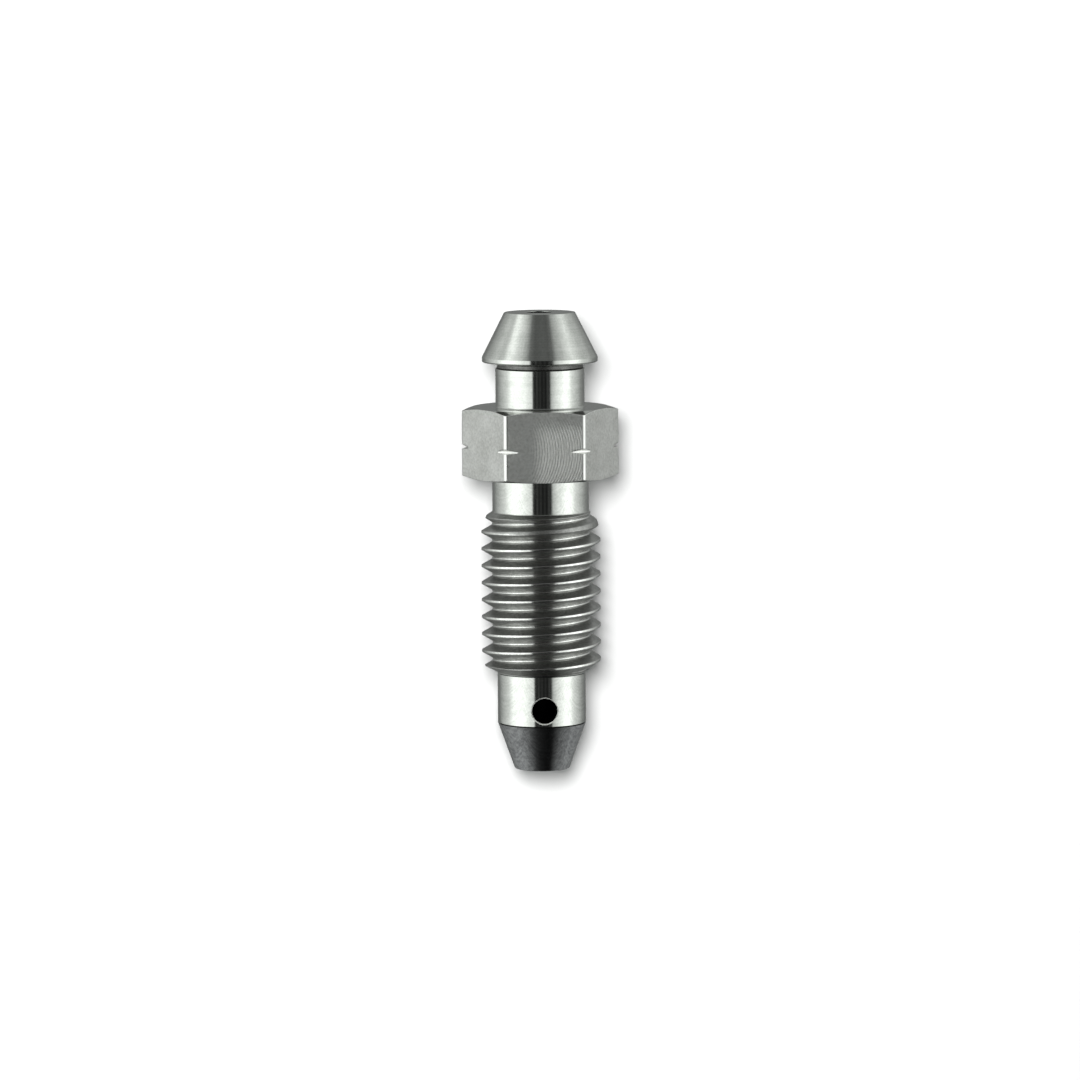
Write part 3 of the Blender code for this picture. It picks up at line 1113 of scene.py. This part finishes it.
    def build(self, materials: list[bpy.types.Material]) -> bpy.types.Object:
        """Makes the screw's object and hands it to the frame.

        Args:
            materials: one for each region, in the order of Region.

        Returns:
            The object.
        """
        mesh = self.mesh()
        mesh.shade_smooth()
        for material in materials:
            mesh.materials.append(material)
        screw = bpy.data.objects.new("bleeder_screw_skin", mesh)
        bpy.context.collection.objects.link(screw)
        evener = screw.modifiers.new("weighted_normals", "WEIGHTED_NORMAL")
        evener.keep_sharp = False
        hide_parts(NODE)
        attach(screw, "root")
        log.info("%s: %d faces", screw.name, len(mesh.polygons))
        return screw


def linear(colour: str) -> tuple[float, float, float, float]:
    """Turns an sRGB hex colour into linear values.

    Args:
        colour: six hex digits after a hash.

    Returns:
        Linear red, green and blue, and an alpha of one.
    """
    values = [int(colour[i : i + 2], 16) / 255 for i in (1, 3, 5)]
    values = [v / 12.92 if v <= 0.04045 else ((v + 0.055) / 1.055) ** 2.4 for v in values]
    return (*values, 1.0)


def add_node(
    tree: bpy.types.NodeTree, kind: str, inputs: dict | None = None, **settings: object
) -> bpy.types.Node:
    """Adds a node with its settings, and sets or links its inputs.

    Args:
        tree: the node tree.
        kind: Blender's name of the node.
        inputs: for an input's name or number, a value or the output socket that feeds it.
        settings: properties of the node.

    Returns:
        The node.
    """
    made = tree.nodes.new(kind)
    for name, value in settings.items():
        setattr(made, name, value)
    for name, value in (inputs or {}).items():
        if isinstance(value, bpy.types.NodeSocket):
            tree.links.new(value, made.inputs[name])
        else:
            made.inputs[name].default_value = value
    return made


@dataclass(frozen=True)
class SteelFinish:
    """Bare steel as one way of cutting leaves it, or a copy painted lighter or darker as highlight or
    shade.

    Fields:
        name: the material's name.
        colour: colour of its reflection.
        dull_colour: the same in its marks and specks.
        roughness: mean roughness.
        roughness_spread: how far roughness wanders from the mean.
        patch: size of the patches over which it wanders, in millimetres.
        mark_spacing: distance between two marks of the tool, in millimetres.
        mark_depth: depth of the marks, in millimetres.
        grain: size of the fine unevenness, in millimetres.
        grain_depth: its depth, in millimetres.
        noise_range: values of the patches' noise between which roughness wanders.
        dull_range: sums of marks, grain and patches between which the colour turns dull.
        mark_drift: how fast a mark changes round the screw, per millimetre.
    """

    name: str
    colour: str
    dull_colour: str
    roughness: float
    roughness_spread: float = 0.03
    patch: float = 0.8
    mark_spacing: float = 0.16
    mark_depth: float = 0.0006
    grain: float = 0.12
    grain_depth: float = 0.0003
    noise_range: tuple[float, float] = (0.35, 0.65)
    dull_range: tuple[float, float] = (1.2, 1.8)
    mark_drift: float = 0.06

    def material(self, place: Placement) -> bpy.types.Material:
        """Builds the finish.

        Args:
            place: where the screw lies, which turns the patterns with it.

        Returns:
            The material.
        """
        material = bpy.data.materials.new(self.name)
        material.use_nodes = True
        tree = material.node_tree
        tree.nodes.clear()
        where = self.coordinates(tree, place)
        inputs = {"Vector": where, "Scale": 1 / self.patch, "Detail": 4.0}
        patches = add_node(tree, "ShaderNodeTexNoise", inputs).outputs["Fac"]
        inputs = {
            "Value": patches,
            "From Min": self.noise_range[0],
            "From Max": self.noise_range[1],
            "To Min": self.roughness - self.roughness_spread,
            "To Max": self.roughness + self.roughness_spread,
        }
        roughness = add_node(tree, "ShaderNodeMapRange", inputs).outputs["Result"]
        inputs = {"Vector": where, "Scale": 1 / self.grain, "Detail": 2.0}
        grain = add_node(tree, "ShaderNodeTexNoise", inputs).outputs["Fac"]
        inputs = {0: grain, 1: self.grain_depth}
        uneven = add_node(tree, "ShaderNodeMath", inputs, operation="MULTIPLY").outputs[0]
        marks = self.marks(tree, where)
        inputs = {0: marks, 1: self.mark_depth, 2: uneven}
        height = add_node(tree, "ShaderNodeMath", inputs, operation="MULTIPLY_ADD").outputs[0]
        both = add_node(tree, "ShaderNodeMath", {0: marks, 1: grain}, operation="ADD").outputs[0]
        spots = add_node(tree, "ShaderNodeMath", {0: both, 1: patches}, operation="ADD").outputs[0]
        least, most = self.dull_range
        inputs = {"Value": spots, "From Min": least, "From Max": most}
        dullness = add_node(tree, "ShaderNodeMapRange", inputs).outputs["Result"]
        inputs = {"Factor": dullness, 6: linear(self.colour), 7: linear(self.dull_colour)}
        tone = add_node(tree, "ShaderNodeMix", inputs, data_type="RGBA").outputs[2]
        bump = add_node(tree, "ShaderNodeBump", {"Height": height, "Distance": MM})
        inputs = {
            "Base Color": tone,
            "Metallic": 1.0,
            "Roughness": roughness,
            "Normal": bump.outputs["Normal"],
        }
        shader = add_node(tree, "ShaderNodeBsdfPrincipled", inputs)
        add_node(tree, "ShaderNodeOutputMaterial", {"Surface": shader.outputs["BSDF"]})
        return material

    def coordinates(self, tree: bpy.types.NodeTree, place: Placement) -> bpy.types.NodeSocket:
        """Places in millimetres in the screw's own frame: right, along the axis, front.

        Args:
            tree: the node tree.
            place: where the screw lies.

        Returns:
            The output that gives them.
        """
        lean = np.arctan2(place.axis[2], place.axis[1])
        inputs = {
            "Vector": add_node(tree, "ShaderNodeTexCoord").outputs["Object"],
            "Location": tuple(place.face),
            "Rotation": (lean, 0, 0),
            "Scale": (MM, MM, MM),
        }
        return add_node(tree, "ShaderNodeMapping", inputs, vector_type="TEXTURE").outputs["Vector"]

    def marks(self, tree: bpy.types.NodeTree, where: bpy.types.NodeSocket) -> bpy.types.NodeSocket:
        """Lines round the screw: noise that changes fast along the outline and slowly round it.

        Args:
            tree: the node tree.
            where: places in millimetres.

        Returns:
            The output that gives the lines' height, from 0 to 1.
        """
        cut = add_node(tree, "ShaderNodeAttribute", attribute_name="cut_mm").outputs["Vector"]
        inputs = {0: cut, 1: (0, 1 / self.mark_spacing, 0)}
        along = add_node(tree, "ShaderNodeVectorMath", inputs, operation="MULTIPLY")
        inputs = {0: where, 1: (self.mark_drift, 0, self.mark_drift), 2: along.outputs["Vector"]}
        lines = add_node(tree, "ShaderNodeVectorMath", inputs, operation="MULTIPLY_ADD")
        inputs = {"Vector": lines.outputs["Vector"], "Scale": 1.0, "Detail": 1.0}
        return add_node(tree, "ShaderNodeTexNoise", inputs).outputs["Fac"]


@dataclass(frozen=True)
class MilledFinish(SteelFinish):
    """Flats cut by an end mill, which leaves arcs one feed apart.

    Fields:
        arc_radius: radius of the arcs, in millimetres.
        arc_station: station of their middle, in millimetres.
        across_fade: distances across the flat, in millimetres, between which the arcs come up.
        along_fade: stations, in millimetres, between which they come up.
        front_fade: distances in front of the axis or behind it, in millimetres, between which they
            come up, so that only the flats at the front and the back have them.
        arc_wobble: how far the arcs stray, as the wave texture's distortion.
    """

    arc_radius: float = 3.6
    arc_station: float = 7.77
    across_fade: tuple[float, float] = (-1.1, 0.1)
    along_fade: tuple[float, float] = (5.7, 6.9)
    front_fade: tuple[float, float] = (3.8, 3.97)
    arc_wobble: float = 0.9

    def marks(self, tree: bpy.types.NodeTree, where: bpy.types.NodeSocket) -> bpy.types.NodeSocket:
        """Arcs: a wave over the distance across the flat less the arc's own.

        The arc's own distance is the root of its radius squared less its height squared.

        Args:
            tree: the node tree.
            where: places in millimetres.

        Returns:
            The output that gives the arcs' height, from 0 to 1.
        """
        cut = add_node(tree, "ShaderNodeAttribute", attribute_name="cut_mm").outputs["Vector"]
        parts = add_node(tree, "ShaderNodeSeparateXYZ", {"Vector": cut}).outputs
        across, station = parts["X"], parts["Z"]
        inputs = {0: station, 1: self.arc_station}
        height = add_node(tree, "ShaderNodeMath", inputs, operation="SUBTRACT").outputs[0]
        square = add_node(tree, "ShaderNodeMath", {0: height, 1: 2.0}, operation="POWER").outputs[0]
        inputs = {0: self.arc_radius**2, 1: square}
        rest = add_node(tree, "ShaderNodeMath", inputs, operation="SUBTRACT").outputs[0]
        root = add_node(tree, "ShaderNodeMath", {0: rest, 1: 0.5}, operation="POWER").outputs[0]
        centre = add_node(tree, "ShaderNodeMath", {0: across, 1: root}, operation="SUBTRACT").outputs[0]
        place = add_node(tree, "ShaderNodeCombineXYZ", {"X": centre, "Y": station}).outputs["Vector"]
        # A wave texture repeats after this distance at a scale of one
        period = np.pi / 10
        inputs = {
            "Vector": place,
            "Scale": period / self.mark_spacing,
            "Distortion": self.arc_wobble,
            "Detail": 2.0,
            "Detail Scale": 2.0,
        }
        wave = add_node(tree, "ShaderNodeTexWave", inputs).outputs["Fac"]
        mean = 0.5
        swing = add_node(tree, "ShaderNodeMath", {0: wave, 1: mean}, operation="SUBTRACT").outputs[0]
        front = add_node(tree, "ShaderNodeSeparateXYZ", {"Vector": where}).outputs["Z"]
        beside = add_node(tree, "ShaderNodeMath", {0: front}, operation="ABSOLUTE").outputs[0]
        fades = ((across, self.across_fade), (station, self.along_fade), (beside, self.front_fade))
        for value, (start, end) in fades:
            inputs = {"Value": value, "From Min": start, "From Max": end}
            fade = add_node(tree, "ShaderNodeMapRange", inputs, interpolation_type="SMOOTHSTEP")
            inputs = {0: swing, 1: fade.outputs["Result"]}
            swing = add_node(tree, "ShaderNodeMath", inputs, operation="MULTIPLY").outputs[0]
        return add_node(tree, "ShaderNodeMath", {0: swing, 1: mean}, operation="ADD").outputs[0]


@dataclass(frozen=True)
class Studio:
    """Soft light round the screw: two tall soft boxes with a dark gap between them.

    The light is laid out by the metal that mirrors it to the front view. A direction's turn and
    latitude are those of the vector half way between it and that view, and turns are doubled.

    Fields:
        view: degrees by which the front view looks down from the hose end.
        around: light that a turned surface mirrors, as pairs of degrees from the front to the
            right and brightness.
        above: the same for a cone that narrows to the hose end.
        below: the same for a cone that narrows to the tip.
        above_latitude: degrees towards the hose end between which around passes into above.
        overhead: brightness for faces that look to the hose end, and their latitudes.
        gap: brightness of the dark gap between around and below, and its latitudes.
        below_latitude: degrees towards the tip, as less than nothing, for below.
        underneath: brightness for faces that look to the tip, and their latitudes.
        behind: brightness behind the screw.
        behind_reach: how far to the back that starts and is whole, as cosines.
        tint: colour of all that light.
        floor_half: half the side of the floor.
        floor_colour: colour of the floor.
        key_energy: power of the key light, in watts.
        key_size: diameter of the key light.
        key_distance: distance of the key light from the screw.
        key_lean: degrees by which the key light leans to the left and to the hose end.
    """

    view: float
    around: tuple[tuple[float, float], ...] = (
        (-180, 0.22),
        (-154, 0.22),
        (-139, 0.35),
        (-117, 0.66),
        (-100, 0.9),
        (-85, 1.47),
        (-72, 1.65),
        (-59, 1.62),
        (-48, 1.45),
        (-37, 1.22),
        (-25, 0.94),
        (-21, 0.05),
        (-15, 0.012),
        (-12, 0.07),
        (-8, 0.01),
        (-3, 0.045),
        (1, 0.008),
        (6, 0.035),
        (11, 0.008),
        (16, 0.06),
        (21, 0.03),
        (26, 0.62),
        (38, 1.03),
        (50, 1.3),
        (62, 1.63),
        (75, 1.57),
        (89, 0.95),
        (106, 0.67),
        (127, 0.33),
        (143, 0.22),
        (180, 0.22),
    )
    above: tuple[tuple[float, float], ...] = (
        (-180, 0.2),
        (-139, 0.36),
        (-118, 0.54),
        (-102, 0.7),
        (-86, 0.68),
        (-80, 0.85),
        (-75, 1.2),
        (-65, 1.32),
        (-54, 1.0),
        (-43, 0.75),
        (-33, 0.5),
        (-24, 0.18),
        (-14, 0.115),
        (5, 0.13),
        (15, 0.115),
        (24, 0.17),
        (32, 0.44),
        (45, 0.64),
        (56, 0.88),
        (67, 1.05),
        (80, 0.84),
        (93, 0.64),
        (109, 0.56),
        (129, 0.37),
        (180, 0.22),
    )
    below: tuple[tuple[float, float], ...] = (
        (-180, 0.2),
        (-121, 0.32),
        (-99, 0.44),
        (-82, 0.45),
        (-66, 0.4),
        (-51, 0.3),
        (-38, 0.17),
        (-24, 0.055),
        (-11, 0.02),
        (14, 0.005),
        (28, 0.01),
        (42, 0.1),
        (56, 0.22),
        (71, 0.28),
        (89, 0.38),
        (110, 0.35),
        (180, 0.2),
    )
    above_latitude: tuple[float, float] = (9.0, 23.0)
    overhead: tuple[float, float, float] = (0.4, 32.0, 58.0)
    gap: tuple[float, float, float] = (0.01, -2.5, -5.0)
    below_latitude: tuple[float, float] = (-14.5, -18.5)
    underneath: tuple[float, float, float] = (0.2, -40.0, -65.0)
    behind: float = 0.2
    behind_reach: tuple[float, float] = (-0.75, -0.95)
    tint: str = "#FBFFFC"
    floor_half: float = 3.0
    floor_colour: str = "#D2D2D2"
    key_energy: float = 0.92
    key_size: float = 88 * MM
    key_distance: float = 250 * MM
    key_lean: tuple[float, float] = (8.0, 11.0)

    def world(self, place: Placement) -> None:
        """Lights the scene from all round.

        Args:
            place: where the screw lies.
        """
        world = bpy.data.worlds.new("studio")
        bpy.context.scene.world = world
        world.use_nodes = True
        tree = world.node_tree
        tree.nodes.clear()
        direction = add_node(tree, "ShaderNodeTexCoord").outputs["Generated"]
        tilt = np.radians(self.view)
        view = tuple(np.cos(tilt) * place.front + np.sin(tilt) * place.axis)
        between = add_node(tree, "ShaderNodeVectorMath", {0: direction, 1: view}).outputs["Vector"]
        half_way = add_node(tree, "ShaderNodeVectorMath", {0: between}, operation="NORMALIZE")
        half_way = half_way.outputs["Vector"]
        reaches = []
        for towards, vector in (
            (half_way, place.side),
            (half_way, place.front),
            (half_way, place.axis),
            (direction, view),
        ):
            inputs = {0: towards, 1: tuple(vector)}
            reach = add_node(tree, "ShaderNodeVectorMath", inputs, operation="DOT_PRODUCT")
            reaches.append(reach.outputs["Value"])
        side, front, axis, forward = reaches
        turn = add_node(tree, "ShaderNodeMath", {0: side, 1: front}, operation="ARCTAN2")
        inputs = {"Value": turn.outputs[0], "From Min": -np.pi / 2, "From Max": np.pi / 2}
        share = add_node(tree, "ShaderNodeMapRange", inputs).outputs["Result"]
        latitude = add_node(tree, "ShaderNodeMath", {0: axis}, operation="ARCSINE").outputs[0]
        peak = max(level for _, level in self.around)
        light, above, below = self.ramps(tree, share, peak)
        for value, limits, beyond in (
            (latitude, np.radians(self.above_latitude), above),
            (latitude, np.radians(self.overhead[1:]), self.overhead[0] / peak),
            (latitude, np.radians(self.gap[1:]), self.gap[0] / peak),
            (latitude, np.radians(self.below_latitude), below),
            (latitude, np.radians(self.underneath[1:]), self.underneath[0] / peak),
            (forward, self.behind_reach, self.behind / peak),
        ):
            inputs = {"Value": value, "From Min": limits[0], "From Max": limits[1]}
            factor = add_node(tree, "ShaderNodeMapRange", inputs, interpolation_type="SMOOTHSTEP")
            inputs = {"Factor": factor.outputs["Result"], "A": light, "B": beyond}
            light = add_node(tree, "ShaderNodeMix", inputs, data_type="FLOAT").outputs["Result"]
        strength = add_node(tree, "ShaderNodeMath", {0: light, 1: peak}, operation="MULTIPLY")
        inputs = {"Strength": strength.outputs[0], "Color": linear(self.tint)}
        background = add_node(tree, "ShaderNodeBackground", inputs)
        add_node(tree, "ShaderNodeOutputWorld", {"Surface": background.outputs["Background"]})

    def ramps(
        self, tree: bpy.types.NodeTree, share: bpy.types.NodeSocket, peak: float
    ) -> list[bpy.types.NodeSocket]:
        """Brightness round the axis for around, above and below, as shares of the peak.

        Args:
            tree: the world's node tree.
            share: output of the turn, from 0 to 1.
            peak: greatest brightness.

        Returns:
            An output for each of the three.
        """
        outputs = []
        for stops in (self.around, self.above, self.below):
            ramp = add_node(tree, "ShaderNodeValToRGB", {"Fac": share})
            for degrees, _ in stops[1:-1]:
                ramp.color_ramp.elements.new((degrees + 180) / 360)
            for element, (_, level) in zip(ramp.color_ramp.elements, stops):
                element.color = (level / peak, level / peak, level / peak, 1)
            outputs.append(ramp.outputs["Color"])
        return outputs

    def floor(self) -> None:
        """Pale floor at the height of the screw's lowest points."""
        half = self.floor_half
        mesh = bpy.data.meshes.new("floor")
        corners = [(-half, -half, 0), (half, -half, 0), (half, half, 0), (-half, half, 0)]
        mesh.from_pydata(corners, [], [(0, 1, 2, 3)])
        floor = bpy.data.objects.new("floor", mesh)
        bpy.context.collection.objects.link(floor)
        floor.visible_glossy = False
        material = bpy.data.materials.new("matt_paper")
        material.use_nodes = True
        shader = material.node_tree.nodes["Principled BSDF"]
        shader.inputs["Base Color"].default_value = linear(self.floor_colour)
        shader.inputs["Roughness"].default_value = 1.0
        shader.inputs["Specular IOR Level"].default_value = 0.0
        mesh.materials.append(material)

    def key(self) -> None:
        """Broad soft light from above that casts the screw's shadow on the floor."""
        lamp = bpy.data.lights.new("key", "AREA")
        lamp.shape = "DISK"
        lamp.size = self.key_size
        lamp.energy = self.key_energy
        light = bpy.data.objects.new("key", lamp)
        bpy.context.collection.objects.link(light)
        left, back = np.tan(np.radians(self.key_lean))
        towards = np.array([-left, back, 1.0])
        towards /= np.linalg.norm(towards)
        up = np.array([0.0, 1.0, 0.0])
        light.matrix_world = looking(self.key_distance * towards, towards, up)
        light.visible_glossy = False
        light.visible_camera = False


def looking(position: np.ndarray, back: np.ndarray, up: np.ndarray) -> Matrix:
    """Matrix of a camera or lamp.

    Args:
        position: where it stands.
        back: unit vector from what it looks at towards it.
        up: direction that is up in its picture, not along back.

    Returns:
        The matrix.
    """
    right = np.cross(up, back)
    right /= np.linalg.norm(right)
    matrix = np.eye(4)
    matrix[:3] = np.stack([right, np.cross(back, right), back, position], axis=-1)
    return Matrix(matrix.tolist())


@dataclass(frozen=True)
class PhotoCamera:
    """Camera at the photo's angle.

    Fields:
        distance: from the screw's middle.
        elevation: degrees towards the hose end from square to the axis.
        turn: degrees round the axis from the front.
        roll: degrees by which the screw's head leans left in the picture.
        half_width: half of the picture's width at the screw's middle.
        shift: how far the axis stands right of the picture's middle.
        drop: how far the screw's middle lies under the picture's middle.
        clip: nearest and farthest distance that it shows.
    """

    distance: float = 333.7 * MM
    elevation: float = 6.3
    turn: float = -3.85
    roll: float = 0.35
    half_width: float = 31.61 * MM
    shift: float = 0.05 * MM
    drop: float = 0.047 * MM
    clip: tuple[float, float] = (0.01, 50.0)

    def build(self, place: Placement, middle: float) -> None:
        """Makes the camera and sets it as the scene's.

        Args:
            place: where the screw lies.
            middle: station of the screw's middle.
        """
        elevation, turn, roll = np.radians([self.elevation, self.turn, self.roll])
        round_axis = np.sin(turn) * place.side + np.cos(turn) * place.front
        back = np.cos(elevation) * round_axis + np.sin(elevation) * place.axis
        right = np.cross(place.axis, back)
        right /= np.linalg.norm(right)
        up = np.cos(roll) * np.cross(back, right) + np.sin(roll) * right
        target = place.points(0, 0, middle - self.drop) - self.shift * right
        data = bpy.data.cameras.new("photo_camera")
        data.lens = data.sensor_width / 2 * self.distance / self.half_width
        data.clip_start, data.clip_end = self.clip
        camera = bpy.data.objects.new("photo_camera", data)
        bpy.context.collection.objects.link(camera)
        camera.matrix_world = looking(target + self.distance * back, back, up)
        bpy.context.scene.camera = camera


def finishes() -> list[SteelFinish]:
    """The finishes of the screw.

    Returns:
        One for each region, in the order of Region.
    """
    return [
        # Turned steel: mirror-like, with hair lines round it, drawn coarser than the lathe's to show
        SteelFinish(
            "bright_turned_steel",
            "#DEDFDC",
            "#CCCECA",
            roughness=0.09,
            patch=0.5,
            mark_depth=0.0003,
            grain_depth=0.0004,
        ),
        # Milled flats: satin, with arcs from the cutter
        MilledFinish(
            "milled_steel",
            "#FBFBF9",
            "#D8D8D5",
            roughness=0.5,
            roughness_spread=0.04,
            patch=1.6,
            mark_depth=0.015,
            grain=0.15,
            grain_depth=0.0008,
        ),
        # Corners of the drawn bar: rubbed smooth, so that they flash as thin white lines
        SteelFinish("drawn_steel", "#F4F4F2", "#F4F4F2", roughness=0.3, mark_depth=0.0),
        # Thread flanks that the tool tore a little: dull satin, painted darker as the shade on the
        # flanks
        SteelFinish(
            "painted_shade_flank_steel",
            "#C2C2C0",
            "#A0A09E",
            roughness=0.33,
            roughness_spread=0.05,
            patch=0.4,
            grain=0.09,
            grain_depth=0.0014,
        ),
        # Crests and roots: smoother, and painted bright as thin highlight lines along the thread
        SteelFinish(
            "painted_highlight_line_steel",
            "#FCFCFA",
            "#E2E3E0",
            roughness=0.16,
            roughness_spread=0.04,
            patch=0.3,
            grain_depth=0.0015,
        ),
        # Ground seat: mottled, with fine lines round the cone
        SteelFinish(
            "ground_steel",
            "#CECFD1",
            "#A2A2A5",
            roughness=0.17,
            roughness_spread=0.05,
            patch=0.3,
            grain=0.16,
            grain_depth=0.0018,
        ),
        # Holes, and the line at the shoulder: rough, painted dark as shade in the holes and at the
        # shoulder
        SteelFinish("painted_shade_dark_steel", "#3A3A3A", "#2C2C2C", roughness=0.4),
        # Recess behind the lip: rough from the parting tool, and painted darker as the shade in the
        # recess
        SteelFinish(
            "painted_shade_recess_steel",
            "#8E8E8C",
            "#747472",
            roughness=0.4,
            roughness_spread=0.05,
            patch=0.4,
            grain_depth=0.002,
        ),
        # Rim of the cross hole: chamfered and rough, and painted pale as a highlight ring seen from
        # every side
        SteelFinish("painted_highlight_rim_steel", "#FFFFFD", "#F8F8F6", roughness=0.95, mark_depth=0.0),
    ]


def main() -> None:
    """Builds the screw, its light and its camera."""
    logging.basicConfig(level=logging.INFO, format="%(message)s")
    scene = bpy.context.scene
    scene.view_settings.view_transform = "Standard"
    place = Placement.from_record(frame["record"])
    screw = BleederScrew(place)
    screw.build([finish.material(place) for finish in finishes()])
    at = screw.stations()
    log.info("overall length %.3f mm", at["end"] / MM)
    camera = PhotoCamera()
    studio = Studio(camera.elevation)
    studio.world(place)
    studio.floor()
    studio.key()
    camera.build(place, at["end"] / 2)


if __name__ == "__main__":
    main()
